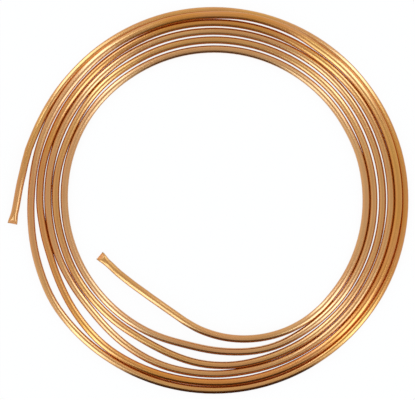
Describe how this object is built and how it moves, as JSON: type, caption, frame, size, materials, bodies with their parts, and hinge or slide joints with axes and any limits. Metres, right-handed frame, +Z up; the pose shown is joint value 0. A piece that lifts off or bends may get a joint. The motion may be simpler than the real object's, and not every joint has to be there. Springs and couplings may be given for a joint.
{
  "type": "copper tube coil",
  "caption": "Flat loose coil of soft round copper tube with both pinched ends free, stock to be unrolled, cut and bent into pipework.",
  "frame": {"origin": "axis of the coil at the floor that it lies on", "axes": "+Z up along the coil axis, +X to the right and +Y to the top of the picture, which looks straight down"},
  "size_m": [0.317, 0.3063, 0.0113],
  "materials": {
    "copper": "bright drawn copper, slightly dulled"
  },
  "bodies": {
    "root": {"copper_tube": "copper"}
  },
  "joints": []
}
